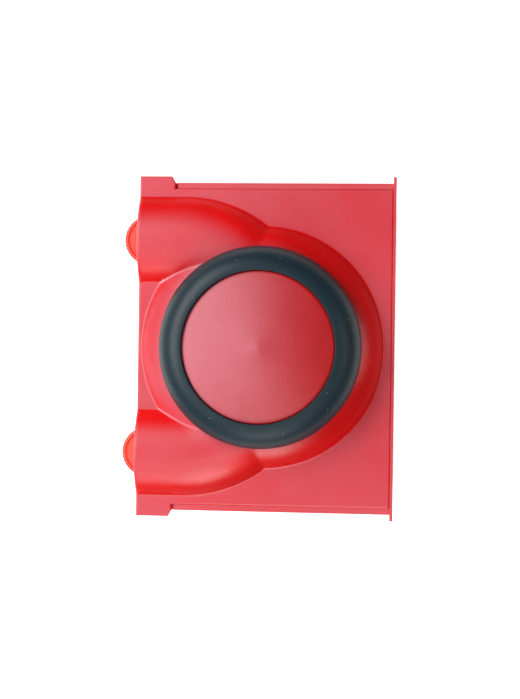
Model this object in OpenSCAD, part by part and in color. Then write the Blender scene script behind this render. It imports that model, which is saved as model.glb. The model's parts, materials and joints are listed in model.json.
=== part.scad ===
// Water filled barrier module: a moulded tank, a domed cover with two hoods, a screw-down
// filler lid and two drain valves worked by thumb wheels. Millimetres, +Z up.
// The origin is on the ground under the middle of the whole object.

/* [Tank] */
// Length of the tank, from its left edge to the end flange
tank_len = 297.5; // [295:0.5:310]
// Width of the tank across its two rims
tank_w = 385; // [378:1:390]
// Height of the cover plate's surface above the ground
plate_top = 300; // [290:5:360]
// Wall thickness of the mouldings
wall = 4; // [3:0.5:5]
// Thickness of the tank's floor
floor_t = 5; // [4:0.5:6]
// Width of the rim strip beside the cover
rim_w = 7; // [6:0.5:8]
// How far the rim strip lies below the cover plate's surface
rim_drop = 2; // [1:0.5:3]

/* [Cover] */
// Distance of the dome's axis from the tank's left edge
dome_u = 146.6; // [144:0.2:149]
// Radius of the dome's crown circle
crown_r = 91.1; // [90:0.1:93]
// Radius of the arc that the dome and the hoods share in section
swell_r = 65; // [64:0.5:66]
// Depth of that arc's centre below the plate's surface
swell_drop = 41; // [40:0.5:42]
// Distance of each hood's axis from the middle
hood_v = 125; // [122:0.5:127]
// Length of each hood's straight front
hood_straight = 54; // [52:1:56]
// Centreline radius of each hood's elbow
elbow_r = 107.6; // [106:0.2:109]
// Length of the ear at each left corner
ear_len = 42; // [38:1:44]
// How far the ears and the flange stand out past the rims
ear_reach = 7.5; // [6:0.5:10]

/* [Filler] */
// Outside radius of the filler neck
neck_r = 73.5; // [72:0.5:74]
// Wall of the filler neck
neck_wall = 5.5; // [4:0.5:6]
// Radius of the lid
lid_r = 87; // [84:0.5:88]
// Outside radius of the rubber ring round the lid
ring_r = 116.8; // [114:0.2:118]
// Height of the lid's edge above the plate
lid_edge = 58; // [57:0.5:60]
// Height of the lid's tip above the plate
lid_tip = 70; // [68:0.5:72]
// Height of the rubber ring's inner edge above the plate
ring_top = 62; // [61:0.5:64]

/* [Drain] */
// Radius of the thumb wheels
wheel_r = 29.3; // [28:0.1:30]
// How far the thumb wheels stand out past the left edge
wheel_reach = 18.8; // [18:0.1:20]
// Thickness of the thumb wheels
wheel_t = 12; // [10:0.5:13]
// Radius of the spindles
spindle_r = 5; // [4.5:0.1:5.5]
// Radius of the valve plugs
plug_r = 12; // [11.5:0.1:12.5]
// Radius of the drain ports
port_r = 6; // [5:0.5:6.5]

/* [Ends and feet] */
// Thickness of the end flange
flange_t = 3.5; // [3:0.5:5]
// Radius of the holes that join two modules
join_hole_r = 5.5; // [5:0.5:6]
// Spacing of those holes across the flange
join_dy = 280; // [260:5:300]
// Spacing of those holes up the flange
join_dz = 140; // [120:5:150]
// Height of the rubber feet
foot_h = 15; // [12:1:16]

/* [Hidden] */
$fn = 96;
e = 0.01;

running = 0.08;                                     // radial clearance of a shaft in its hole
x_left = -(wheel_reach + tank_len + flange_t) / 2 + wheel_reach;
x_right = x_left + tank_len;
dome_x = x_left + dome_u;
half_w = tank_w / 2;
seam_v = half_w - rim_w;                            // half the cover plate's width
plate_bottom = plate_top - wall;
gasket_t = 1.5;
shelf_top = plate_bottom - gasket_t;
shelf_t = 6.5;
shelf_w = 14;                                       // from the outside of the wall
floor_top = foot_h + floor_t;
notch_w = 3;                                        // gap between an ear and the rim strip
hood_sink = 0.4;                                    // the hoods' crowns lie this much below the dome's

channel_u = 46;                                     // depth of the valve channels
channel_half = 36;
wheel_x = x_left - wheel_reach + wheel_r;
wheel_top = plate_bottom - 3;
seat_half_r = 112;                                  // raised flat seat under the rubber ring
seat_h = swell_r - swell_drop + 0.5;
seat_t = 6.5;
neck_flange_r = neck_r + 11;
neck_top = plate_top + 52;
neck_gasket_t = 1.5;
neck_flange_t = 3;
nut_top = plate_top + seat_h - seat_t - 1;            // clear of the dome's curved underside
lid_skirt_bottom = plate_top + seat_h + neck_gasket_t + neck_flange_t + 1;
seal_t = 2;

port_z = floor_top + 22;
valve_top = floor_top + 78;
plug_z = floor_top + 10;
plug_len = 32;
bracket_z = plate_bottom - 34;
bracket_t = 6;
baffle_top = floor_top + 185;
cup_len = 110;
cup_z = floor_top + 192;
cup_h = 40;
cup_depth = 26;
cup_wall = 3;
cup_x = x_left + tank_len / 2;
reflector_z = floor_top + 96;
foot_dx = 113;
foot_y = 150;
foot_r = 22;
insert_r = 9;
join_z = (plate_top + foot_h) / 2;
flange_screw_z = [70, 245];
flange_screw_y = [-90, 0, 90];

red = [0.80, 0.13, 0.15];
lid_red = [0.78, 0.24, 0.26];
orange_red = [0.90, 0.38, 0.28];
slate = [0.13, 0.16, 0.18];
soft_black = [0.08, 0.08, 0.09];

// A box from its lowest to its highest corner.
module span(low, high) { translate(low) cube(high - low); }

// A cylinder along +X that starts at u past the tank's left edge.
module rod_x(u0, u1, y, z, r) {
    translate([x_left + u0, y, z]) rotate([0, 90, 0]) cylinder(h = u1 - u0, r = r);
}

// A washer or tube standing on z0.
module tube(z0, z1, r_out, r_in) {
    translate([0, 0, z0]) difference() {
        cylinder(h = z1 - z0, r = r_out);
        translate([0, 0, -1]) cylinder(h = z1 - z0 + 2, r = r_in);
    }
}

module both_sides() {
    children();
    mirror([0, 1, 0]) children();
}

// ---- Tank ----

module channel_block(grow, z0, z1) {
    both_sides() span([x_left - 1, hood_v - channel_half - grow, z0],
        [x_left + channel_u + grow, hood_v + channel_half + grow, z1]);
}

module tank_outside() {
    span([x_left, -half_w, foot_h], [x_right, half_w, plate_top - rim_drop]);
    for (z = [45, 85, 160])
        span([x_left + wall, -half_w - wall, floor_top + z],
            [x_right - wall, half_w + wall, floor_top + z + 8]);
}

module tank_shell() color(red) difference() {
    union() {
        difference() {
            tank_outside();
            difference() {
                union() {
                    span([x_left + wall, -half_w + wall, floor_top],
                        [x_right - wall, half_w - wall, shelf_top - shelf_t]);
                    span([x_left + shelf_w, -half_w + shelf_w, floor_top],
                        [x_right - shelf_w, half_w - shelf_w, plate_top]);
                }
                channel_block(wall, 0, plate_top + 1);
            }
            span([x_left - 1, -seam_v, shelf_top], [x_right + 1, seam_v, plate_top + 1]);
            span([x_left - 1, -half_w - 1, shelf_top],
                [x_left + ear_len + notch_w, half_w + 1, plate_top + 1]);
            channel_block(0, floor_top, plate_top + 1);
        }
        for (sx = [-1, 1], sy = [-1, 1])
            translate([sx * foot_dx, sy * foot_y, floor_top - e]) cylinder(h = 1.8, r = 8);
        for (y = flange_screw_y, z = flange_screw_z)
            rod_x(tank_len - 14, tank_len - wall + e, y, z, 6);
    }
    for (sx = [-1, 1], sy = [-1, 1])
        translate([sx * foot_dx, sy * foot_y, foot_h - 1]) cylinder(h = floor_t + 1, r = 3);
    for (y = flange_screw_y, z = flange_screw_z)
        rod_x(tank_len - 10, tank_len + 1, y, z, 2.5);
    for (sy = [-1, 1], sz = [-1, 1])
        rod_x(tank_len - wall - 1, tank_len + 1, sy * join_dy / 2, join_z + sz * join_dz / 2,
            insert_r);
    for (sy = [-1, 1])
        rod_x(channel_u - 1, channel_u + wall + 1, sy * hood_v, port_z, port_r + 5);
    both_sides() span([cup_x - cup_len / 2, seam_v - wall, cup_z],
        [cup_x + cup_len / 2, half_w + 1, cup_z + cup_h]);
}

module cover_gasket() color(soft_black) difference() {
    union() {
        difference() {
            span([x_left, -seam_v, shelf_top], [x_right, seam_v, plate_bottom]);
            span([x_left + shelf_w, -half_w + shelf_w, shelf_top - 1],
                [x_right - shelf_w, half_w - shelf_w, plate_top]);
        }
        channel_block(wall, shelf_top, plate_bottom);
    }
    channel_block(0, shelf_top - 1, plate_top);
    span([x_left - 2, -seam_v, shelf_top - 1], [x_left, seam_v, plate_top]);
}

// ---- Cover ----

// The part above z0 of a circle that stands r_line from the axis it turns about.
module swell_section(r_line, lift, d, z0) intersection() {
    translate([r_line, lift]) circle(r = swell_r + d);
    translate([20, z0]) square([200, 100]);
}

// The dome and both hoods, grown by d, cut off flat at height z0.
module swell(d, z0) {
    translate([dome_x, 0, 0]) rotate_extrude()
        swell_section(crown_r, plate_top - swell_drop, d, z0);
    lift = plate_top - swell_drop - hood_sink;
    both_sides() {
        intersection() {
            rod_x(d < 0 ? -1 : 0, hood_straight, hood_v, lift, swell_r + d);
            span([x_left - 2, 0, z0], [x_right, 2 * hood_v, plate_top + 60]);
        }
        translate([x_left + hood_straight, hood_v - elbow_r, 0]) rotate([0, 0, 32])
            rotate_extrude(angle = 58) swell_section(elbow_r, lift, d, z0);
    }
}

module ears() both_sides() translate([x_left, 0, plate_bottom]) linear_extrude(wall)
    polygon([[0, seam_v - 1], [ear_len, seam_v - 1], [ear_len, half_w],
        [ear_len - 4, half_w + ear_reach], [0, half_w + ear_reach]]);

// Cross wall that closes a hood behind its thumb wheel.
module hood_web() both_sides() intersection() {
    rod_x(channel_u, channel_u + wall, hood_v, plate_top - swell_drop, swell_r - 1);
    span([x_left, 0, plate_bottom], [x_right, 2 * hood_v, plate_top + 60]);
}

module top_cover() color(red) {
    difference() {
        union() {
            span([x_left, -seam_v, plate_bottom], [x_right, seam_v, plate_top]);
            ears();
            swell(0, plate_bottom);
            translate([dome_x, 0, plate_top]) cylinder(h = seat_h, r = seat_half_r);
        }
        difference() {
            swell(-wall, plate_bottom - 1);
            hood_web();
            translate([dome_x, 0, plate_top + seat_h - seat_t]) cylinder(h = seat_t, r = seat_half_r);
        }
        translate([dome_x, 0, plate_bottom - 1]) cylinder(h = 60, r = neck_r + 0.5);
    }
    both_sides() span([x_left + 60, seam_v - 15, plate_bottom - 10],
        [x_right - 20, seam_v - 12, plate_bottom + e]);
}

// ---- End flange ----

module end_flange() color(red) difference() {
    span([x_right, -half_w - ear_reach, foot_h + 3],
        [x_right + flange_t, half_w + ear_reach, plate_top]);
    for (sy = [-1, 1], sz = [-1, 1])
        rod_x(tank_len - 1, tank_len + flange_t + 1, sy * join_dy / 2,
            join_z + sz * join_dz / 2, join_hole_r);
    for (y = flange_screw_y, z = flange_screw_z) {
        rod_x(tank_len - 1, tank_len + flange_t + 1, y, z, 2.5);
        translate([x_right + flange_t - 2.5, y, z]) rotate([0, 90, 0])
            cylinder(h = 2.5 + e, r1 = 2.5, r2 = 5);
    }
}

module flange_screws() color("silver") for (y = flange_screw_y, z = flange_screw_z) {
    rod_x(tank_len - 9, tank_len + flange_t - 2, y, z, 2.5);
    difference() {
        translate([x_right + flange_t - 2.5, y, z]) rotate([0, 90, 0])
            cylinder(h = 2.5, r1 = 2.5, r2 = 5);
        span([x_right + flange_t - 1, y - 3, z - 0.6], [x_right + flange_t + 1, y + 3, z + 0.6]);
    }
}

module flange_inserts() color("goldenrod") for (sy = [-1, 1], sz = [-1, 1]) {
    y = sy * join_dy / 2;
    z = join_z + sz * join_dz / 2;
    difference() {
        union() {
            rod_x(tank_len - 26, tank_len, y, z, insert_r);
            rod_x(tank_len - 8, tank_len - wall, y, z, insert_r + 4);
        }
        rod_x(tank_len - 23, tank_len + 1, y, z, join_hole_r);
    }
}

// ---- Filler ----

module filler_neck() color(soft_black) translate([dome_x, 0, 0]) {
    tube(plate_top - 20, neck_top, neck_r, neck_r - neck_wall);
    tube(plate_top + seat_h + neck_gasket_t, lid_skirt_bottom - 1, neck_flange_r, neck_r - 1);
}

module neck_gasket() color("dimgray") translate([dome_x, 0, 0])
    tube(plate_top + seat_h, plate_top + seat_h + neck_gasket_t, neck_flange_r, neck_r);

module neck_nut() color(soft_black) translate([dome_x, 0, 0]) difference() {
    tube(nut_top - 9, nut_top, neck_r + 10, neck_r);
    for (a = [0:30:359]) rotate([0, 0, a])
        translate([neck_r + 11, 0, plate_top]) cylinder(h = 60, r = 4, center = true, $fn = 32);
}

// Outline of the lid's crown: a cone with a slight swell, rounded at the tip.
function crown(t) = [lid_r * t, plate_top + lid_edge
    + (lid_tip - lid_edge) * (1 - t) * (1 + 0.55 * t) * (1 - 0.06 * pow(1 - t, 6))];

module lid() color(lid_red) translate([dome_x, 0, 0]) rotate_extrude()
    polygon(concat([for (i = [0:12]) crown(i / 12)],
        [[lid_r, lid_skirt_bottom], [neck_r + running, lid_skirt_bottom],
            [neck_r + running, neck_top + seal_t], [60, neck_top + seal_t],
            [0, plate_top + lid_tip - 6]]));

// The rubber ring: a quarter ellipse that slopes outwards, hollow underneath.
ring_bottom = plate_top + seat_h + 0.5;
module lid_ring() color(slate) translate([dome_x, 0, 0]) rotate_extrude()
    polygon(concat([[lid_r, ring_bottom], [lid_r, plate_top + ring_top - 1.2],
            [lid_r + 1.2, plate_top + ring_top]],
        [for (a = [80:-10:0]) [ring_r - 25 + 25 * cos(a),
            ring_bottom + 6 + (plate_top + ring_top - ring_bottom - 6) * sin(a)]],
        [[ring_r, ring_bottom + 1.5], [ring_r - 1.5, ring_bottom],
            [ring_r - 7, ring_bottom], [ring_r - 9, ring_bottom + 12],
            [lid_r + 9, ring_bottom + 18], [lid_r + 7, ring_bottom]]));

module lid_seal() color("dimgray") translate([dome_x, 0, 0])
    tube(neck_top + 0.05, neck_top + seal_t - 0.05, neck_r - 0.1, neck_r - neck_wall);

// ---- Drain valves; side is 1 for a and -1 for b ----

module at_wheel(side) { translate([wheel_x, side * hood_v, 0]) children(); }

module thumb_wheel(side) color(orange_red) at_wheel(side) difference() {
    union() {
        translate([0, 0, wheel_top - wheel_t]) rotate_extrude() polygon([[0, 0], [wheel_r - 2, 0],
            [wheel_r - 0.6, 0.6], [wheel_r, 2], [wheel_r, wheel_t - 2],
            [wheel_r - 0.6, wheel_t - 0.6], [wheel_r - 2, wheel_t], [wheel_r - 4.7, wheel_t],
            [wheel_r - 5.5, wheel_t - 1.6], [wheel_r - 6.3, wheel_t], [0, wheel_t]]);
        translate([0, 0, wheel_top - wheel_t - 8]) cylinder(h = 8 + e, r = 11);
    }
    translate([0, 0, wheel_top - wheel_t - 9]) cylinder(h = wheel_t + 6, r = spindle_r);
}
module thumb_wheel_a() thumb_wheel(1);
module thumb_wheel_b() thumb_wheel(-1);

module spindle(side) color("silver") at_wheel(side) {
    translate([0, 0, floor_top + 34]) cylinder(h = wheel_top - 3 - floor_top - 34, r = spindle_r);
    translate([0, 0, bracket_z - 8]) cylinder(h = 4, r = 8.5);
}
module spindle_a() spindle(1);
module spindle_b() spindle(-1);

module spindle_bracket(side) color(soft_black) difference() {
    union() {
        span([x_left + 1, side * hood_v - channel_half, bracket_z],
            [x_left + channel_u, side * hood_v + channel_half, bracket_z + bracket_t]);
        span([x_left + channel_u - 5, side * hood_v - channel_half, bracket_z - 20],
            [x_left + channel_u, side * hood_v + channel_half, bracket_z + e]);
    }
    at_wheel(side) translate([0, 0, bracket_z - 1]) cylinder(h = bracket_t + 2, r = 9);
}
module spindle_bracket_a() spindle_bracket(1);
module spindle_bracket_b() spindle_bracket(-1);

module spindle_bush(side) color("white") at_wheel(side) {
    tube(bracket_z - 3, bracket_z + bracket_t, 9, spindle_r + running);
    tube(bracket_z - 3, bracket_z, 12, spindle_r + running);
}
module spindle_bush_a() spindle_bush(1);
module spindle_bush_b() spindle_bush(-1);

module valve_body(side) color("goldenrod") {
    y = side * hood_v;
    wheel_u = wheel_r - wheel_reach;
    difference() {
        union() {
            at_wheel(side) translate([0, 0, floor_top])
                cylinder(h = valve_top - floor_top, r = plug_r + 5);
            rod_x(wheel_u, channel_u + wall + 12, y, port_z, port_r + 5);
            rod_x(channel_u - 6, channel_u, y, port_z, port_r + 11);
            rod_x(-wheel_reach + 2, wheel_u, y, port_z, port_r + 3);
            rod_x(-wheel_reach + 12, wheel_u, y, port_z, port_r + 6);
        }
        at_wheel(side) translate([0, 0, floor_top + 8])
            cylinder(h = valve_top, r = plug_r + running);
        rod_x(wheel_u, channel_u + wall + 13, y, port_z, port_r);
        rod_x(-wheel_reach + 1, wheel_u, y, port_z, port_r);
    }
}
module valve_body_a() valve_body(1);
module valve_body_b() valve_body(-1);

module valve_gland(side) color("goldenrod") at_wheel(side)
    tube(valve_top, valve_top + 8, plug_r + 7, spindle_r + running);
module valve_gland_a() valve_gland(1);
module valve_gland_b() valve_gland(-1);

module valve_plug(side) color("white") at_wheel(side) difference() {
    translate([0, 0, plug_z]) cylinder(h = plug_len, r = plug_r);
    translate([0, 0, plug_z + 4]) cylinder(h = plug_len, r = spindle_r + running);
    tube(plug_z + 24, plug_z + 27, plug_r + 1, plug_r - 2);
}
module valve_plug_a() valve_plug(1);
module valve_plug_b() valve_plug(-1);

module plug_seal(side) color(soft_black) at_wheel(side)
    tube(plug_z + 24, plug_z + 27, plug_r + 0.04, plug_r - 2);
module plug_seal_a() plug_seal(1);
module plug_seal_b() plug_seal(-1);

module inlet_nut(side) color("goldenrod") difference() {
    translate([x_left + channel_u + wall, side * hood_v, port_z]) rotate([0, 90, 0])
        cylinder(h = 7, r = port_r + 11, $fn = 6);
    rod_x(channel_u, channel_u + wall + 8, side * hood_v, port_z, port_r + 5);
}
module inlet_nut_a() inlet_nut(1);
module inlet_nut_b() inlet_nut(-1);

// ---- Inside the tank ----

module surge_baffle(u) color("white") difference() {
    span([x_left + u, -half_w + wall, floor_top], [x_left + u + wall, half_w - wall, baffle_top]);
    for (y = [-135:90:135], z = [55, 135])
        rod_x(u - 1, u + wall + 1, y, floor_top + z, 19);
}
module surge_baffle_a() surge_baffle(100);
module surge_baffle_b() surge_baffle(200);

// ---- Feet, grips and reflectors ----

module foot(sx, sy) color(soft_black) translate([sx * foot_dx, sy * foot_y, 0]) difference() {
    cylinder(h = foot_h, r1 = foot_r - 3, r2 = foot_r);
    translate([0, 0, -1]) cylinder(h = 8, r = 6.5);
    cylinder(h = foot_h + 1, r = 3);
}
module foot_front_left() foot(-1, -1);
module foot_front_right() foot(1, -1);
module foot_back_left() foot(-1, 1);
module foot_back_right() foot(1, 1);

module foot_screws() color("silver") for (sx = [-1, 1], sy = [-1, 1])
    translate([sx * foot_dx, sy * foot_y, 0]) {
        translate([0, 0, 6.9]) cylinder(h = floor_top - 7.1, r = 3);
        translate([0, 0, 3.5]) cylinder(h = 3.5, r = 5.5);
    }

module grip_cup(side) color(slate) mirror([0, side < 0 ? 1 : 0, 0]) difference() {
    union() {
        span([cup_x - cup_len / 2, half_w - cup_depth, cup_z],
            [cup_x + cup_len / 2, half_w + 1, cup_z + cup_h]);
        span([cup_x - cup_len / 2 - 4, half_w, cup_z - 4],
            [cup_x + cup_len / 2 + 4, half_w + 2, cup_z + cup_h + 4]);
    }
    span([cup_x - cup_len / 2 + cup_wall, half_w - cup_depth + cup_wall, cup_z + cup_wall],
        [cup_x + cup_len / 2 - cup_wall, half_w + 3, cup_z + cup_h - cup_wall]);
}
module grip_cup_a() grip_cup(1);
module grip_cup_b() grip_cup(-1);

module reflector(sx, side) color("orange") {
    x = cup_x + sx * 88;
    y = side * (half_w + 1.5);
    span([x - 38, y - 1.5, reflector_z], [x + 38, y + 1.5, reflector_z + 40]);
}
module reflector_a() reflector(-1, 1);
module reflector_b() reflector(1, 1);
module reflector_c() reflector(-1, -1);
module reflector_d() reflector(1, -1);

tank_shell();
top_cover();
cover_gasket();
end_flange();
flange_screws();
flange_inserts();
filler_neck();
neck_nut();
neck_gasket();
lid();
lid_ring();
lid_seal();
thumb_wheel_a();
thumb_wheel_b();
spindle_a();
spindle_b();
spindle_bracket_a();
spindle_bracket_b();
spindle_bush_a();
spindle_bush_b();
valve_body_a();
valve_body_b();
valve_gland_a();
valve_gland_b();
valve_plug_a();
valve_plug_b();
plug_seal_a();
plug_seal_b();
inlet_nut_a();
inlet_nut_b();
surge_baffle_a();
surge_baffle_b();
foot_front_left();
foot_front_right();
foot_back_left();
foot_back_right();
foot_screws();
grip_cup_a();
grip_cup_b();
reflector_a();
reflector_b();
reflector_c();
reflector_d();
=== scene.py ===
import json
import math

import bmesh
import bpy
import numpy as np
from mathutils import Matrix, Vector
from mathutils.geometry import delaunay_2d_cdt


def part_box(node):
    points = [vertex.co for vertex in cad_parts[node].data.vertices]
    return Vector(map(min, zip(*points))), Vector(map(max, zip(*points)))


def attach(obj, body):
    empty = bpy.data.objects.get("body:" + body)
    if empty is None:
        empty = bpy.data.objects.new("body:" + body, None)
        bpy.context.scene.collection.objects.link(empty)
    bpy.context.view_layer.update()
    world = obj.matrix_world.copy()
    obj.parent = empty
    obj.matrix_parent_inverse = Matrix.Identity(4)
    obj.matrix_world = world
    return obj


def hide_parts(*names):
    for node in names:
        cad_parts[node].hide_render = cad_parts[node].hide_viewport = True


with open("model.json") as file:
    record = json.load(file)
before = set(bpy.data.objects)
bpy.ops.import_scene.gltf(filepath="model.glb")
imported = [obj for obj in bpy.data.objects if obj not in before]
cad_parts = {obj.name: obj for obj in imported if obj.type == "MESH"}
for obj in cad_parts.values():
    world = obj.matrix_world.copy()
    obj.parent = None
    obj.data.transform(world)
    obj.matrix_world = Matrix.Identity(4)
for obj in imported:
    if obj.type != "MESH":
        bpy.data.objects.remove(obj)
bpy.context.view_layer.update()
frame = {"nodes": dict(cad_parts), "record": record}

mm = 0.001
nodes = frame["nodes"]
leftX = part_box("tank_shell")[0].x          # the tank's left edge
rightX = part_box("tank_shell")[1].x         # where the end flange starts
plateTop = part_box("end_flange")[1].z       # the cover plate's surface
domeX = sum(c.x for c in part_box("lid")) / 2
print("frame loaded:", len(nodes), "CAD nodes")


# Node helpers, and one function for each kind of material.

def hexColour(text):
    # sRGB hex to linear RGBA
    parts = [int(text[i:i + 2], 16) / 255 for i in (0, 2, 4)]
    return [c / 12.92 if c <= 0.04045 else ((c + 0.055) / 1.055) ** 2.4 for c in parts] + [1.0]


def addNode(tree, kind, settings=None, links=None, **values):
    # A key such as n1 is the number of a socket; any other key is its name.
    node = tree.nodes.new(kind)
    for key, value in (settings or {}).items():
        setattr(node, key, value)
    for key, value in {**values, **(links or {})}.items():
        socket = node.inputs[int(key[1:]) if key[0] == "n" and key[1:].isdigit() else key]
        if isinstance(value, bpy.types.NodeSocket):
            tree.links.new(value, socket)
        else:
            socket.default_value = value
    return node


def worked(tree, operation, a, b, c=None, clamp=False):
    links = {"n%d" % i: v for i, v in enumerate((a, b, c)) if v is not None}
    settings = {"operation": operation, "use_clamp": clamp}
    return addNode(tree, "ShaderNodeMath", settings, links).outputs[0]


def noise(tree, place, scale, detail, roughness=0.5):
    return addNode(tree, "ShaderNodeTexNoise", links={"Vector": place}, Scale=scale, Detail=detail,
                   Roughness=roughness).outputs["Fac"]


def ranged(tree, value, fromLow, fromHigh, toLow=0.0, toHigh=1.0, kind="LINEAR"):
    node = addNode(tree, "ShaderNodeMapRange", {"interpolation_type": kind}, {"Value": value})
    for key, number in (("From Min", fromLow), ("From Max", fromHigh), ("To Min", toLow),
                        ("To Max", toHigh)):
        node.inputs[key].default_value = number
    return node.outputs[0]


def blended(tree, factor, first, second):
    return addNode(tree, "ShaderNodeMix", {"data_type": "RGBA"},
                   {"Factor": factor, "A": first, "B": second}).outputs["Result"]


def raised(tree, shader, height, strength, depth):
    bump = addNode(tree, "ShaderNodeBump", links={"Height": height}, Strength=strength,
                   Distance=depth * mm)
    tree.links.new(bump.outputs["Normal"], shader.inputs["Normal"])


def startMaterial(name, roughness, ior=1.5, metallic=0.0):
    material = bpy.data.materials.new(name)
    material.use_nodes = True
    tree = material.node_tree
    shader = tree.nodes["Principled BSDF"]
    shader.inputs["IOR"].default_value = ior
    shader.inputs["Metallic"].default_value = metallic
    shader.inputs["Roughness"].default_value = roughness
    place = addNode(tree, "ShaderNodeTexCoord").outputs["Object"]
    return material, tree, shader, place


def speckledPlastic(name, look):
    # Moulded plastic: a fine pebble grain pressed in by the mould, slow colour drift, pale rubbed
    # edges, a painted highlight in the creases, and a painted pale sheen, with duller gloss, on the
    # faces turned up and towards the lamps on the left.
    material, tree, shader, place = startMaterial(name, look["roughness"])
    drift = noise(tree, place, 9.0, 3.0)
    fleck = noise(tree, place, 1 / (look["fleck"] * mm), 2.0)
    both = worked(tree, "MULTIPLY_ADD", fleck, look["fleckShare"], drift)
    span = (0.35 + 0.42 * look["fleckShare"], 0.65 + 0.58 * look["fleckShare"])
    base = blended(tree, ranged(tree, both, *span), hexColour(look["dark"]),
                   hexColour(look["light"]))
    shape = addNode(tree, "ShaderNodeNewGeometry")
    # Painted sheen: faces turned up and to the left, towards the lamps, are mixed towards a pale colour.
    facing = addNode(tree, "ShaderNodeVectorMath", {"operation": "DOT_PRODUCT"},
                     {"n0": shape.outputs["Normal"], "n1": look["sheenLitSide"]})
    paintedSheenShare = ranged(tree, facing.outputs["Value"], look["sheenFrom"], look["sheenTo"], 0.0,
                     look["sheenAmount"], "SMOOTHSTEP")
    patchy = ranged(tree, both, *span, 0.72, 1.2)
    sheenMix = worked(tree, "MULTIPLY", paintedSheenShare, patchy, clamp=True)
    # Mixes in the painted pale sheen; the same share also dulls the gloss below.
    withPaintedSheen = blended(tree, sheenMix, base, hexColour(look["sheenColour"]))
    edge = ranged(tree, shape.outputs["Pointiness"], 0.53, 0.62, 0.0, look["rub"])
    rubbed = blended(tree, edge, withPaintedSheen, hexColour(look["worn"]))
    # Painted highlight: the pale colour in the creases stands in for the lamps catching the fillets.
    creaseHighlight = addNode(tree, "ShaderNodeAttribute", {"attribute_name": "creaseHighlight"})
    creaseLit = blended(tree, creaseHighlight.outputs["Fac"], rubbed, hexColour(look["creaseGlintColour"]))
    tree.links.new(creaseLit, shader.inputs["Base Color"])
    gloss = ranged(tree, drift, 0.3, 0.7, look["roughness"] - 0.04, look["roughness"] + 0.05)
    tree.links.new(worked(tree, "MULTIPLY_ADD", paintedSheenShare, look["dull"], gloss),
                   shader.inputs["Roughness"])
    grain = noise(tree, place, 1 / (look["grain"] * mm), 2.0)
    swirl = noise(tree, place, 26.0, 2.0)
    raised(tree, shader, worked(tree, "MULTIPLY_ADD", swirl, look["wave"], grain), look["relief"],
           look["depth"])
    return material


def mouldedRubber(name, look):
    # Moulded rubber: slate, satin, with faint cloudy bloom and specks of pale dust.
    material, tree, shader, place = startMaterial(name, look["roughness"], 1.52)
    bloom = noise(tree, place, 22.0, 5.0, 0.6)
    base = blended(tree, bloom, hexColour(look["dark"]), hexColour(look["light"]))
    specks = addNode(tree, "ShaderNodeTexVoronoi", links={"Vector": place},
                     Scale=1 / (look["speckGap"] * mm))
    small = worked(tree, "LESS_THAN", specks.outputs["Distance"], look["speckSize"])
    chance = addNode(tree, "ShaderNodeSeparateColor", links={"Color": specks.outputs["Color"]})
    few = worked(tree, "LESS_THAN", chance.outputs[0], look["specks"])
    dusty = blended(tree, worked(tree, "MULTIPLY", small, few), base, hexColour(look["dust"]))
    tree.links.new(dusty, shader.inputs["Base Color"])
    shader.inputs["Specular IOR Level"].default_value = 0.32
    grain = noise(tree, place, 1 / (look["grain"] * mm), 3.0)
    raised(tree, shader, grain, look["relief"], 0.25)
    return material


def turnedMetal(name, look):
    # Turned or plated metal: fine lathe lines round the part's own Z and slow tarnish.
    material, tree, shader, place = startMaterial(name, look["roughness"], metallic=1.0)
    lines = addNode(tree, "ShaderNodeMapping", links={"Vector": place})
    lines.inputs["Scale"].default_value = (14, 14, 1 / (look["line"] * mm))
    marks = noise(tree, lines.outputs[0], 1.0, 3.0)
    base = blended(tree, noise(tree, place, 45.0, 4.0), hexColour(look["dark"]),
                   hexColour(look["light"]))
    tree.links.new(base, shader.inputs["Base Color"])
    raised(tree, shader, marks, 0.25, 0.05)
    return material


# Rotomoulded polyethylene: satin red, its pebble grain about 1.2 mm across so that it shows.
# The pale mix colour and its facing range paint a sheen where faces turn towards the lamps; the pale
# crease colour is a painted highlight.
tankLook = {"dark": "d80b0d", "light": "ee1012", "worn": "dc6468", "roughness": 0.30, "fleck": 1.6,
            "fleckShare": 0.5, "rub": 0.3, "grain": 1.2, "wave": 0.8, "relief": 0.35, "depth": 0.25,
            "sheenAmount": 0.8, "sheenColour": "cc4e5b", "sheenLitSide": (-0.33, 0.0, 0.944), "sheenFrom": 0.74,
            "sheenTo": 0.985, "creaseGlintColour": "f3c4c8", "dull": 0.16}
coverLook = {**tankLook, "roughness": 0.28}
# The lid's narrower facing range paints its cone lighter on the side towards the lamps.
lidLook = {**tankLook, "dark": "ac0c10", "light": "bc1418", "roughness": 0.34, "grain": 1.1,
           "relief": 0.5, "sheenAmount": 0.95, "sheenColour": "c4606c", "sheenFrom": 0.845, "sheenTo": 1.0}
wheelLook = {**tankLook, "dark": "e8281c", "light": "f4402c", "worn": "f4a184", "roughness": 0.38,
             "relief": 0.15, "sheenAmount": 0.3, "sheenColour": "f07058"}
nylonLook = {**tankLook, "dark": "17181a", "light": "222427", "worn": "4a4d50", "roughness": 0.40,
             "relief": 0.2, "sheenAmount": 0.15, "sheenColour": "505356"}
acetalLook = {**tankLook, "dark": "dcd9cf", "light": "ece9e0", "worn": "f6f4ee", "roughness": 0.35,
              "relief": 0.1, "sheenAmount": 0.0}
sheetLook = {**acetalLook, "dark": "d4d6d2", "light": "e4e6e2", "relief": 0.2}
gripLook = {**tankLook, "dark": "23292c", "light": "30373b", "worn": "6b7478", "roughness": 0.5,
            "relief": 0.3, "sheenAmount": 0.2, "sheenColour": "6a7074"}
ringLook = {"dark": "10222b", "light": "193038", "roughness": 0.44, "speckGap": 7.0, "specks": 0.25,
            "speckSize": 0.07, "dust": "8f999c", "grain": 0.9, "relief": 0.35}
softLook = {**ringLook, "dark": "131415", "light": "202224", "roughness": 0.6}

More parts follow.
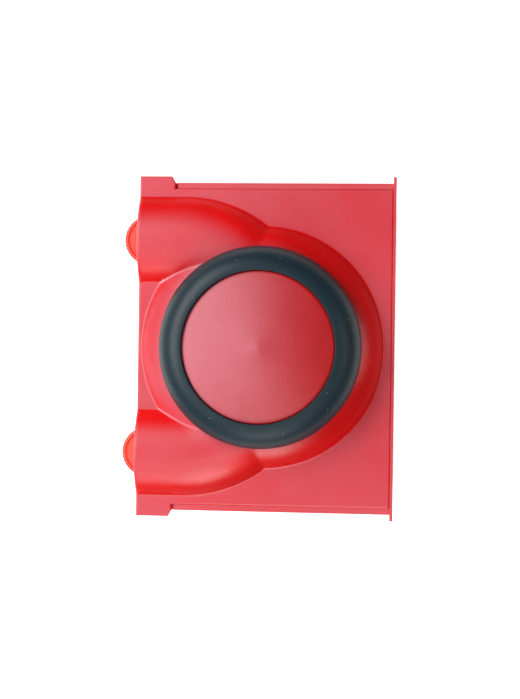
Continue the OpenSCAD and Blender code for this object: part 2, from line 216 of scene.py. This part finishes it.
finishes = {
    "tank_red": speckledPlastic("rotomouldedTankRed", tankLook),
    "cover_red": speckledPlastic("rotomouldedCoverRed", coverLook),
    "lid_red": speckledPlastic("grainedLidRed", lidLook),
    "wheel_orange": speckledPlastic("mouldedWheelOrange", wheelLook),
    "black_nylon": speckledPlastic("mouldedBlackNylon", nylonLook),
    "white_nylon": speckledPlastic("turnedWhiteAcetal", acetalLook),
    "natural_polyethylene": speckledPlastic("naturalPolyethyleneSheet", sheetLook),
    "grip_grey": speckledPlastic("mouldedGripGrey", gripLook),
    "ring_rubber": mouldedRubber("slateRingRubber", ringLook),
    "soft_rubber": mouldedRubber("mattBlackRubber", softLook),
    "zinc_steel": turnedMetal("zincPlatedSteel", {"dark": "9a9da2", "light": "c4c7cb",
                                                  "roughness": 0.34, "line": 0.4}),
    "spindle_steel": turnedMetal("turnedStainlessSteel", {"dark": "a4a6a8", "light": "c9cacb",
                                                          "roughness": 0.26, "line": 0.5}),
    "valve_brass": turnedMetal("machinedBrass", {"dark": "a8813f", "light": "cfa960",
                                                 "roughness": 0.3, "line": 0.5}),
    "reflector_amber": speckledPlastic("amberLens", {**tankLook, "dark": "e8640a", "light": "ff8a1c",
                                                     "worn": "ffb45c", "roughness": 0.12,
                                                     "relief": 0.04, "sheenAmount": 0.0}),
}
slotOf = {s["node"]: s["material_slot"] for s in frame["record"]["subparts"]}
for name, cadNode in nodes.items():
    cadNode.data.materials.clear()
    cadNode.data.materials.append(finishes[slotOf[name]])
print("materials made:", len(finishes))


# What every piece is made with.

def meshObject(name, points, faces, slotName, sharpAngle=38):
    mesh = bpy.data.meshes.new(name)
    mesh.from_pydata([tuple(p) for p in points], [], [tuple(f) for f in faces])
    mesh.validate()
    mesh.shade_smooth()
    mesh.set_sharp_from_angle(angle=math.radians(sharpAngle))
    piece = bpy.data.objects.new(name, mesh)
    bpy.context.scene.collection.objects.link(piece)
    mesh.materials.append(finishes[slotName])
    return piece


def facedOut(piece):
    form = bmesh.new()
    form.from_mesh(piece.data)
    bmesh.ops.recalc_face_normals(form, faces=form.faces)
    form.to_mesh(piece.data)
    form.free()
    return piece


def settle(piece, body, slotName, *replaced):
    if replaced:
        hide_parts(*replaced)
    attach(piece, body)
    return piece


def lathe(name, outline, centre, slotName, steps=192, sharpAngle=38, wobble=None):
    # Turns a closed outline of (radius, height) in mm about a vertical line; points on the axis
    # become one pole.
    points, rings = [], []
    for index, (r, z) in enumerate(outline):
        if r < 1e-6:
            rings.append([len(points)] * steps)
            points.append((centre[0], centre[1], z * mm))
            continue
        rings.append(list(range(len(points), len(points) + steps)))
        for k in range(steps):
            a = 2 * math.pi * k / steps
            grown = r + (wobble(index, a) if wobble else 0)
            points.append((centre[0] + grown * mm * math.cos(a),
                           centre[1] + grown * mm * math.sin(a), z * mm))
    faces = []
    for low, high in zip(rings, rings[1:] + rings[:1]):
        for k in range(steps):
            n = (k + 1) % steps
            corner = [low[k], low[n], high[n], high[k]]
            unique = list(dict.fromkeys(corner))
            if len(unique) >= 3:
                faces.append(unique)
    return facedOut(meshObject(name, points, faces, slotName, sharpAngle))


def arc(cx, cz, r, fromDeg, toDeg, count):
    return [(cx + r * math.cos(math.radians(a)), cz + r * math.sin(math.radians(a)))
            for a in np.linspace(fromDeg, toDeg, count)]


def softened(node, width, body="barrier", segments=2, angle=50):
    # A CAD node's shape with its moulded edges rounded.
    form = bmesh.new()
    form.from_mesh(nodes[node].data)
    bmesh.ops.remove_doubles(form, verts=form.verts, dist=1e-5)
    bmesh.ops.dissolve_limit(form, angle_limit=math.radians(2), verts=form.verts, edges=form.edges)
    mesh = bpy.data.meshes.new(node + "_rounded")
    form.to_mesh(mesh)
    form.free()
    mesh.materials.clear()
    mesh.materials.append(finishes[slotOf[node]])
    mesh.shade_smooth()
    piece = bpy.data.objects.new(node + "_rounded", mesh)
    bpy.context.scene.collection.objects.link(piece)
    bevel = piece.modifiers.new("edges", "BEVEL")
    bevel.width = width * mm
    bevel.segments = segments
    bevel.limit_method = "ANGLE"
    bevel.angle_limit = math.radians(angle)
    bevel.use_clamp_overlap = True
    flats = piece.modifiers.new("flats", "WEIGHTED_NORMAL")
    flats.weight = 100
    flats.keep_sharp = True
    bpy.context.view_layer.update()
    done = bpy.data.meshes.new_from_object(
        piece.evaluated_get(bpy.context.evaluated_depsgraph_get()))
    piece.modifiers.clear()
    piece.data = done
    return settle(piece, body, slotOf[node], node)


# The domed cover: distances u and v in mm run from the middle of the tank's left edge.

coverSizes = {
    "domeU": (domeX - leftX) / mm, "crown": 91.1, "arc": 65.0, "drop": 41.0, "hoodV": 125.0,
    "straight": 54.0, "elbow": 107.6, "valley": 2.2, "foot": 2.0, "wall": 4.0, "edge": 1.3,
    "mouthEdge": 3.2, "seatR": 111.5, "seatH": 24.4, "hole": 74.1, "earLen": 42.0,
    "seam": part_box("cover_gasket")[1].y / mm - 0.1, "rim": 7.0, "earSlant": 4.0,
    "earReach": 14.5, "web": (46.0, 50.0), "fine": 1.1, "coarse": 3.4,
    "creaseSpan": 1.1, "creaseFrom": 0.35, "creaseFull": 0.9,
}


def smoothMax(a, b, k):
    near = np.maximum(k - np.abs(a - b), 0) / k
    return np.maximum(a, b) + near * near * k / 4


def swellHeight(q, radius, drop):
    q = np.clip(np.abs(q), 0, radius * 0.995)
    return np.sqrt(radius * radius - q * q) - drop


def hoodOffset(u, v, s):
    # Distance across a hood from its crown line: straight, then round the elbow.
    v = np.abs(v)
    turn = np.hypot(u - s["straight"], v - (s["hoodV"] - s["elbow"])) - s["elbow"]
    turn = np.where(v > s["hoodV"] - s["elbow"], turn, 60.0)
    return np.where(u < s["straight"], v - s["hoodV"], turn)


def profiles(u, v, s, inset):
    radius = s["arc"] - inset
    r = np.hypot(u - s["domeU"], v)
    dome = swellHeight(np.maximum(r - s["crown"], -30), radius, s["drop"])
    hood = swellHeight(hoodOffset(u, v, s), radius, s["drop"] + 0.4)
    return r, dome, hood


def edgeDistance(u, v, s, length):
    # Distance in from the cover's outline; the ears carry the outline outwards at the left corners.
    v = np.abs(v)
    slantDepth = s["earReach"] - s["rim"]
    slant = s["earLen"] - s["earSlant"] * np.clip((v - s["seam"] - s["rim"]) / slantDepth, 0, 1)
    side = np.where(u < slant, np.where(v > s["seam"] - 1, slant - u, 99.0), 99.0)
    top = np.where(u < slant, s["seam"] + s["earReach"] - v, s["seam"] - v)
    ends = np.minimum(u, length - u)
    return np.minimum(np.minimum(ends, top), np.maximum(side, 0))


def coverTop(u, v, s, length):
    r, dome, hood = profiles(u, v, s, 0.0)
    raised = smoothMax(dome, hood, s["valley"])
    height = smoothMax(raised, np.zeros_like(raised), s["foot"])
    seat = s["seatH"] - np.maximum(r - s["seatR"], 0) * 6
    height = smoothMax(height, np.maximum(seat, -50), 0.8)
    near = np.maximum(edgeDistance(u, v, s, length), 0)
    radius = np.where((u < 6) & (height > 0.5), np.minimum(s["edge"] + height * 0.4, s["mouthEdge"]),
                      s["edge"])
    cut = np.clip(radius - near, 0, radius)
    return height - (radius - np.sqrt(np.maximum(radius * radius - cut * cut, 0))) * 0.9


def coverUnder(u, v, s, length):
    r, dome, hood = profiles(u, v, s, s["wall"])
    inside = np.where((u > s["web"][0]) & (u < s["web"][1]), -50.0, hood)
    inside = np.maximum(dome, inside)
    inside = np.minimum(inside, coverTop(u, v, s, length) - s["wall"] * 0.9)
    inside = np.where(r < s["seatR"], np.minimum(inside, s["seatH"] - 6.5), inside)
    return np.maximum(inside, -s["wall"])


def outlinePoints(s, length, step):
    corner = [(0, -s["seam"] - s["earReach"]), (s["earLen"] - s["earSlant"], -s["seam"] - s["earReach"]),
              (s["earLen"], -s["seam"] - s["rim"]), (s["earLen"], -s["seam"]), (length, -s["seam"]),
              (length, s["seam"]), (s["earLen"], s["seam"]), (s["earLen"], s["seam"] + s["rim"]),
              (s["earLen"] - s["earSlant"], s["seam"] + s["earReach"]), (0, s["seam"] + s["earReach"])]
    points = []
    for a, b in zip(corner, corner[1:] + corner[:1]):
        count = max(2, round(math.dist(a, b) / step))
        points += [(a[0] + (b[0] - a[0]) * k / count, a[1] + (b[1] - a[1]) * k / count)
                   for k in range(count)]
    return points


def insidePoints(s, length, spacing, near):
    us = np.arange(spacing * 0.5, length, spacing)
    vs = np.arange(-s["seam"] - s["earReach"] + spacing * 0.5, s["seam"] + s["earReach"], spacing)
    u, v = np.meshgrid(us, vs)
    u = u + (np.round(v / spacing) % 2) * spacing * 0.5
    u, v = u.ravel(), v.ravel()
    keep = (edgeDistance(u, v, s, length) > spacing * 0.6)
    keep &= np.hypot(u - s["domeU"], v) > s["hole"] + spacing * 0.6
    if near is not None:
        r, dome, hood = profiles(u, v, s, 0.0)
        crease = (np.abs(dome - hood) < near) & (np.maximum(dome, hood) > -2)
        foot = np.abs(np.maximum(dome, hood)) < near
        rim = edgeDistance(u, v, s, length) < 5
        step = (r > s["seatR"] - 1) & (r < s["seatR"] + 3)
        web = (np.abs(u - s["web"][0]) < 1.3) & (np.abs(hoodOffset(u, v, s)) < 52)
        keep &= (crease | foot | rim | step | web) & (r > 108)
    return np.stack([u[keep], v[keep]], 1)


def creaseHighlightAt(u, v, s, length):
    # A painted highlight in the creases, mostly on the sides that face the near left, towards the lamps.
    def height(du, dv):
        return coverTop(u + du * s["creaseSpan"], v + dv * s["creaseSpan"], s, length)
    right, left, far, near = height(1, 0), height(-1, 0), height(0, 1), height(0, -1)
    bend = (right + left + far + near - 4 * height(0, 0)) / s["creaseSpan"]
    gx, gy = right - left, far - near
    side = (0.55 * gx + 0.83 * gy) / np.maximum(np.hypot(gx, gy), 0.05)
    share = np.clip((bend - s["creaseFrom"]) / (s["creaseFull"] - s["creaseFrom"]), 0, 1)
    clear = (np.hypot(u - s["domeU"], v) > s["seatR"] + 4) & (edgeDistance(u, v, s, length) > 3)
    return share * np.clip(0.15 + 1.3 * side, 0, 1) * clear


def makeCover(s):
    length = (rightX - leftX) / mm - 0.1
    edge = outlinePoints(s, length, s["fine"] * 1.2)
    holeCount = 240
    hole = [(s["domeU"] + s["hole"] * math.cos(2 * math.pi * k / holeCount),
             s["hole"] * math.sin(2 * math.pi * k / holeCount)) for k in range(holeCount)]
    loops = [list(range(len(edge))),
             list(range(len(edge), len(edge) + holeCount))]
    coarse = insidePoints(s, length, s["coarse"], None)
    fine = insidePoints(s, length, s["fine"], 3.0)
    outside = [np.abs(np.hypot(p[:, 0] - s["domeU"], p[:, 1]) - s["seatR"] - 1.3) > 3.4
               for p in (coarse, fine)]
    coarse, fine = coarse[outside[0]], fine[outside[1]]
    step = [(s["domeU"] + r * math.cos(a), r * math.sin(a))     # the seat's edge runs round cleanly
            for r in s["seatR"] + np.array([-1.3, -0.5, 0.0, 0.4, 0.8, 1.2, 1.7, 2.4, 3.2])
            for a in np.linspace(0, 2 * math.pi, 620, endpoint=False)]
    cell = {(int(p[0] // s["coarse"]), int(p[1] // s["coarse"])) for p in fine}
    coarse = [p for p in coarse if (int(p[0] // s["coarse"]), int(p[1] // s["coarse"])) not in cell]
    points, faces = [], []
    below = insidePoints(s, length, 4.0, None)
    for side, inner in (("top", list(fine) + list(coarse) + step), ("under", list(below))):
        flat = [Vector((float(p[0]), float(p[1]))) for p in edge + hole + inner]
        rims = [(loop[k], loop[(k + 1) % len(loop)]) for loop in loops for k in range(len(loop))]
        verts, _, tris, _, _, _ = delaunay_2d_cdt(flat, rims, [], 0, 1e-6, False)
        assert len(verts) == len(flat), "the cover's outline crosses itself"
        uv = np.array([(p.x, p.y) for p in verts])
        heights = (coverTop if side == "top" else coverUnder)(uv[:, 0], uv[:, 1], s, length)
        start = len(points)
        points += [(leftX + u * mm, v * mm, plateTop + h * mm) for (u, v), h in zip(uv, heights)]
        middles = np.array([uv[list(t)].mean(0) for t in tris])
        keep = (np.hypot(middles[:, 0] - s["domeU"], middles[:, 1]) > s["hole"] * 0.998)
        keep &= edgeDistance(middles[:, 0], middles[:, 1], s, length) > 0
        for tri, kept in zip(tris, keep):
            if kept:
                t = [start + k for k in tri]
                faces.append(t if side == "top" else t[::-1])
        if side == "top":
            topStart, topCount, topFlat = start, len(verts), uv
    for loop, flip in ((loops[0], False), (loops[1], True)):
        for k in range(len(loop)):
            a, b = loop[k], loop[(k + 1) % len(loop)]
            quad = [topStart + a, start + a, start + b, topStart + b]
            faces.append(quad[::-1] if flip else quad)
    piece = meshObject("domed_cover", points, faces, "cover_red", 42)
    creaseHighlight = np.zeros(len(points))
    # Painted highlight in the creases, kept per point for the material.
    creaseHighlight[:topCount] = creaseHighlightAt(topFlat[:, 0], topFlat[:, 1], s, length) * 0.9
    piece.data.attributes.new("creaseHighlight", "FLOAT", "POINT").data.foreach_set("value", creaseHighlight)
    facedOut(piece)
    print("domed cover:", len(points), "points,", len(faces), "faces")
    return settle(piece, "barrier", "cover_red", "top_cover")


makeCover(coverSizes)


# The lid and its rubber ring, turned about the dome's axis.

lidSizes = {"r": 87.3, "edge": 57.4, "tip": 69.2, "swell": 0.55, "edgeRound": 1.6}
ringSizes = {"inner": 87.5, "outer": 116.8, "top": 62.0, "lip": 0.8, "rim": 7.0}
plate = plateTop / mm


def makeLid(s):
    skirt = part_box("lid")[0].z / mm
    outline = [(0.0, plate + s["tip"])]
    for k in range(1, 33):
        t = k / 32 * (1 - s["edgeRound"] / s["r"])
        outline.append((s["r"] * t, plate + s["edge"] + (s["tip"] - s["edge"]) * (1 - t)
                        * (1 + s["swell"] * t)))
    outline += arc(s["r"] - s["edgeRound"], plate + s["edge"] - s["edgeRound"] + 0.2, s["edgeRound"],
                   70, 0, 5)
    outline += [(s["r"], skirt + 0.5), (s["r"] - 0.5, skirt), (74.1, skirt), (73.6, skirt + 0.5)]
    for k in range(5):                              # thread ridges inside the skirt
        z = skirt + 3 + k * 4
        outline += [(73.6, z), (74.6, z + 0.8), (74.6, z + 1.6), (73.6, z + 2.4)]
    outline += [(73.6, plate + 54), (60.0, plate + 54), (0.0, plate + s["tip"] - 6)]
    piece = lathe("filler_lid", outline, (domeX, 0), "lid_red", 224, 50)
    return settle(piece, "lid_cap", "lid_red", "lid")


def makeRing(s):
    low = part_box("lid_ring")[0].z / mm
    top = plate + s["top"]
    outline = [(s["inner"], low), (s["inner"], top - s["lip"])]
    outline += arc(s["inner"] + s["lip"], top - s["lip"], s["lip"], 160, 100, 4)
    reach, drop = s["outer"] - s["inner"] - s["lip"], top - low - s["rim"]
    for a in np.linspace(90, 8, 26):                # the smooth shoulder
        outline.append((s["inner"] + s["lip"] + reach * math.cos(math.radians(a)),
                        low + s["rim"] + drop * math.sin(math.radians(a))))
    outline.append((s["outer"], low + s["rim"]))
    outline.append((s["outer"], low + 2.2))
    outline += arc(s["outer"] - 2.2, low + 2.2, 2.2, -15, -80, 5)
    outline += [(s["outer"] - 7, low), (s["outer"] - 9, low + 12), (94.5, low + 18), (92.5, low)]
    piece = lathe("lid_ring_rubber", outline, (domeX, 0), "ring_rubber", 256, 30)
    return settle(piece, "lid_cap", "ring_rubber", "lid_ring")


makeLid(lidSizes)
makeRing(ringSizes)
print("lid and ring made")


# The thumb wheels, with a groove round the face and a fluted edge.

wheelSizes = {"r": 29.3, "round": 2.6, "groove": 23.8, "grooveHalf": 1.3, "grooveDeep": 1.5,
              "flutes": 40, "fluteDeep": 0.35}


def makeWheel(side, body, s):
    low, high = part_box("thumb_wheel_" + side)
    centre = ((low.x + high.x) / 2, (low.y + high.y) / 2)
    top, bottom = high.z / mm, low.z / mm
    face = bottom + 8
    outline = [(0.0, top - 1.0), (9.0, top - 1.0), (10.0, top), (s["groove"] - s["grooveHalf"], top)]
    outline += [(s["groove"] - 0.5, top - s["grooveDeep"]), (s["groove"] + 0.5, top - s["grooveDeep"]),
                (s["groove"] + s["grooveHalf"], top)]
    first = len(outline)
    outline += arc(s["r"] - s["round"], top - s["round"], s["round"], 90, 0, 7)
    outline += arc(s["r"] - s["round"], face + s["round"], s["round"], 0, -90, 7)
    last = len(outline)
    outline += [(11.0, face), (11.0, bottom), (5.05, bottom), (5.05, top - 3), (0.0, top - 3)]

    def flute(index, angle):
        if not first + 2 < index < last - 3:
            return 0.0
        return -s["fluteDeep"] * (0.5 + 0.5 * math.cos(angle * s["flutes"]))

    piece = lathe("thumb_wheel_" + side + "_disc", outline, centre, "wheel_orange", 240, 40, flute)
    return settle(piece, body, "wheel_orange", "thumb_wheel_" + side)


makeWheel("a", "wheel_a", wheelSizes)
makeWheel("b", "wheel_b", wheelSizes)

for node, width in (("tank_shell", 1.6), ("end_flange", 1.0), ("grip_cup_a", 1.0),
                    ("grip_cup_b", 1.0), ("spindle_bracket_a", 0.8), ("spindle_bracket_b", 0.8),
                    ("foot_front_left", 1.2), ("foot_front_right", 1.2), ("foot_back_left", 1.2),
                    ("foot_back_right", 1.2), ("inlet_nut_a", 0.5), ("inlet_nut_b", 0.5),
                    ("valve_gland_a", 0.6), ("valve_gland_b", 0.6)):
    softened(node, width)
print("rounded mouldings made")


# What repeats is grown by node trees: the flange's screws, and the prisms of the reflectors.

def startTree(name, sizes):
    tree = bpy.data.node_groups.new(name, "GeometryNodeTree")
    tree.interface.new_socket("Geometry", in_out="OUTPUT", socket_type="NodeSocketGeometry")
    tree.interface.new_socket("Places", in_out="INPUT", socket_type="NodeSocketGeometry")
    for key in sizes:
        tree.interface.new_socket(key, in_out="INPUT", socket_type="NodeSocketFloat")
    return tree, tree.nodes.new("NodeGroupInput").outputs


def triple(tree, x=0.0, y=0.0, z=0.0):
    return addNode(tree, "ShaderNodeCombineXYZ", {}, {"X": x, "Y": y, "Z": z}).outputs[0]


def moved(tree, geometry, shift=None, turn=(0, 0, 0)):
    links = {"Geometry": geometry, "Rotation": turn}
    if shift is not None:
        links["Translation"] = shift
    return addNode(tree, "GeometryNodeTransform", {}, links).outputs[0]


def combined(tree, operation, first, others):
    node = tree.nodes.new("GeometryNodeMeshBoolean")
    node.operation = operation
    node.solver = "EXACT"
    if operation == "DIFFERENCE":
        tree.links.new(first, node.inputs[0])
    for other in ([] if operation == "DIFFERENCE" else [first]) + others:
        tree.links.new(other, node.inputs[1])
    return node.outputs[0]


def grown(name, tree, geometry, sizes, places, slotName, body, *replaced):
    realized = addNode(tree, "GeometryNodeRealizeInstances", links={"Geometry": geometry})
    painted = addNode(tree, "GeometryNodeSetMaterial", links={"Geometry": realized.outputs[0]})
    painted.inputs["Material"].default_value = finishes[slotName]
    end = tree.nodes.new("NodeGroupOutput")
    tree.links.new(painted.outputs[0], end.inputs[0])
    mesh = bpy.data.meshes.new(name)
    mesh.from_pydata([tuple(p) for p in places], [], [])
    piece = bpy.data.objects.new(name, mesh)
    bpy.context.scene.collection.objects.link(piece)
    growth = piece.modifiers.new("growth", "NODES")
    growth.node_group = tree
    for item in tree.interface.items_tree:
        if item.in_out == "INPUT" and item.name in sizes:
            growth[item.identifier] = float(sizes[item.name])
    bpy.context.view_layer.update()
    done = bpy.data.meshes.new_from_object(
        piece.evaluated_get(bpy.context.evaluated_depsgraph_get()))
    piece.modifiers.clear()
    piece.data = done
    done.shade_smooth()
    done.set_sharp_from_angle(angle=math.radians(32))
    return settle(piece, body, slotName, *replaced)


screwSizes = {"head": 4.9 * mm, "headDeep": 2.4 * mm, "rim": 0.3 * mm, "shank": 2.45 * mm,
              "length": 12.0 * mm, "key": 1.7 * mm, "keyDeep": 1.4 * mm}


def makeScrews(s):
    tree, given = startTree("flangeScrew", s)
    cone = addNode(tree, "GeometryNodeMeshCone", {}, {"Radius Top": given["head"],
                   "Radius Bottom": given["shank"], "Depth": given["headDeep"]}, Vertices=48)
    rim = addNode(tree, "GeometryNodeMeshCylinder", {}, {"Radius": given["head"],
                  "Depth": given["rim"]}, Vertices=48)
    shank = addNode(tree, "GeometryNodeMeshCylinder", {}, {"Radius": given["shank"],
                    "Depth": given["length"]}, Vertices=32)
    key = addNode(tree, "GeometryNodeMeshCylinder", {}, {"Radius": given["key"],
                  "Depth": given["keyDeep"]}, Vertices=6)
    down = worked(tree, "MULTIPLY", given["length"], -0.5)
    rimLow = worked(tree, "MULTIPLY", given["rim"], -1.0)
    coneLow = worked(tree, "SUBTRACT", rimLow, given["headDeep"])
    solid = combined(tree, "UNION",
                     moved(tree, cone.outputs["Mesh"], triple(tree, z=coneLow)),
                     [moved(tree, rim.outputs["Mesh"],
                            triple(tree, z=worked(tree, "MULTIPLY", given["rim"], -0.5))),
                      moved(tree, shank.outputs["Mesh"],
                            triple(tree, z=worked(tree, "SUBTRACT", down, 0.4 * mm)))])
    cut = combined(tree, "DIFFERENCE", solid, [key.outputs["Mesh"]])
    lying = moved(tree, cut, turn=(0, math.radians(90), 0))
    spread = addNode(tree, "GeometryNodeInstanceOnPoints", {},
                     {"Points": given["Places"], "Instance": lying})
    low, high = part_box("flange_screws")
    rows = (low.y + 5 * mm, (low.y + high.y) / 2, high.y - 5 * mm)
    places = [(high.x, y, z) for y in rows for z in (low.z + 5 * mm, high.z - 5 * mm)]
    return grown("flange_screw_set", tree, spread.outputs[0], s, places,
                 slotOf["flange_screws"], "barrier", "flange_screws")


makeScrews(screwSizes)

lensSizes = {"width": 76 * mm, "height": 40 * mm, "thick": 3 * mm, "back": 1.6 * mm,
             "rim": 2.4 * mm, "pitch": 3.4 * mm, "rise": 1.2 * mm}


def makeLenses(s):
    tree, given = startTree("reflectorLens", s)
    plate = addNode(tree, "GeometryNodeMeshCube", {}, {"Size": triple(
        tree, given["width"], given["height"], given["thick"])})
    inner = {axis: worked(tree, "MULTIPLY_ADD", given["rim"], -2.0, given[axis])
             for axis in ("width", "height")}
    hollow = addNode(tree, "GeometryNodeMeshCube", {}, {"Size": triple(
        tree, inner["width"], inner["height"], given["thick"])})
    tray = combined(tree, "DIFFERENCE", plate.outputs["Mesh"],
                    [moved(tree, hollow.outputs["Mesh"], triple(tree, z=given["back"]))])
    prism = addNode(tree, "GeometryNodeMeshCone", {}, {
        "Radius Bottom": worked(tree, "MULTIPLY", given["pitch"], 0.56), "Depth": given["rise"]},
        Vertices=6)
    prism.inputs["Radius Top"].default_value = 0.0
    span = {axis: worked(tree, "SUBTRACT", inner[axis], worked(tree, "MULTIPLY", given["pitch"], 1.2))
            for axis in inner}
    number = {axis: worked(tree, "FLOOR", worked(tree, "DIVIDE", span[axis], given["pitch"]), 0.0)
              for axis in span}
    grid = addNode(tree, "GeometryNodeMeshGrid", {}, {
        "Size X": span["width"], "Size Y": span["height"],
        "Vertices X": worked(tree, "ADD", number["width"], 1.0),
        "Vertices Y": worked(tree, "ADD", number["height"], 1.0)})
    level = worked(tree, "MULTIPLY_ADD", given["thick"], -0.5, given["back"])
    field = addNode(tree, "GeometryNodeInstanceOnPoints", {},
                    {"Points": moved(tree, grid.outputs["Mesh"], triple(tree, z=level)),
                     "Instance": prism.outputs["Mesh"]})
    joined = tree.nodes.new("GeometryNodeJoinGeometry")
    for part in (tray, field.outputs[0]):
        tree.links.new(part, joined.inputs[0])
    upright = moved(tree, joined.outputs[0], turn=(math.radians(-90), 0, 0))
    where = addNode(tree, "GeometryNodeInputPosition")
    side = addNode(tree, "ShaderNodeSeparateXYZ", links={"Vector": where.outputs[0]})
    turn = worked(tree, "MULTIPLY", worked(tree, "LESS_THAN", side.outputs["Y"], 0.0), math.pi)
    spread = addNode(tree, "GeometryNodeInstanceOnPoints", {}, {
        "Points": given["Places"], "Instance": upright, "Rotation": triple(tree, z=turn)})
    names = ["reflector_" + k for k in "abcd"]
    places = [sum(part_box(name), Vector()) / 2 for name in names]
    return grown("reflector_lenses", tree, spread.outputs[0], s, places,
                 slotOf[names[0]], "barrier", *names)


makeLenses(lensSizes)
print("repeated pieces grown:", 2)


# Light, floor and camera.

lightSizes = {
    "key": {"at": (-1.47, 0.0, 1.94), "size": 1.1, "watts": 26},
    "side": {"at": (-1.19, 1.0, 1.86), "size": 1.1, "watts": 27},
    "front": {"at": (0.0, -1.1, 2.21), "size": 1.1, "watts": 8},
    "low": {"at": (0.0, -1.87, 1.47), "size": 1.1, "watts": 16},
    "fill": {"at": (1.56, 0.0, 1.86), "size": 1.1, "watts": 7},
}
aimAt = Vector((0, 0, plateTop))
for name, light in lightSizes.items():
    lamp = bpy.data.lights.new(name, "AREA")
    lamp.shape = "DISK"
    lamp.size = light["size"]
    lamp.energy = light["watts"]
    holder = bpy.data.objects.new(name, lamp)
    holder.location = light["at"]
    holder.rotation_mode = "QUATERNION"
    holder.rotation_quaternion = (aimAt - holder.location).to_track_quat("-Z", "Y")
    bpy.context.scene.collection.objects.link(holder)

world = bpy.data.worlds.new("studio")
bpy.context.scene.world = world
world.use_nodes = True
world.node_tree.nodes["Background"].inputs["Color"].default_value = (1, 1, 1, 1)
world.node_tree.nodes["Background"].inputs["Strength"].default_value = 0.04

floorMesh = bpy.data.meshes.new("floor")
floorMesh.from_pydata([(-6, -6, 0), (6, -6, 0), (6, 6, 0), (-6, 6, 0)], [], [(0, 1, 2, 3)])
floor = bpy.data.objects.new("floor", floorMesh)
bpy.context.scene.collection.objects.link(floor)
paper = bpy.data.materials.new("whitePaper")
paper.use_nodes = True
paperShader = paper.node_tree.nodes["Principled BSDF"]
paperShader.inputs["Base Color"].default_value = (0.93, 0.93, 0.93, 1)
paperShader.inputs["Roughness"].default_value = 0.9
paperShader.inputs["Emission Color"].default_value = (1, 1, 1, 1)
paperShader.inputs["Emission Strength"].default_value = 0.8
floorMesh.materials.append(paper)

cameraSizes = {"distance": 1.755, "yaw": 5.0, "roll": 0.8, "lens": 77.3, "aim": (-4.5, -2.4)}


def makeCamera(s):
    middle = Vector(((leftX + rightX) / 2 + s["aim"][0] * mm, s["aim"][1] * mm, plateTop))
    yaw, roll = math.radians(s["yaw"]), math.radians(s["roll"])
    back = Vector((math.sin(yaw), 0, math.cos(yaw)))
    up = Vector((-math.sin(roll), math.cos(roll), 0))
    right = up.cross(back).normalized()
    up = back.cross(right)
    data = bpy.data.cameras.new("camera")
    data.lens = s["lens"]
    data.sensor_width = 36
    holder = bpy.data.objects.new("camera", data)
    bpy.context.scene.collection.objects.link(holder)
    matrix = holder.matrix_world.copy()
    for column, axis in enumerate((right, up, back, middle + back * s["distance"])):
        for row in range(3):
            matrix[row][column] = axis[row]
    holder.matrix_world = matrix
    bpy.context.scene.camera = holder


makeCamera(cameraSizes)
bpy.context.scene.view_settings.view_transform = "Standard"
print("light and camera made")
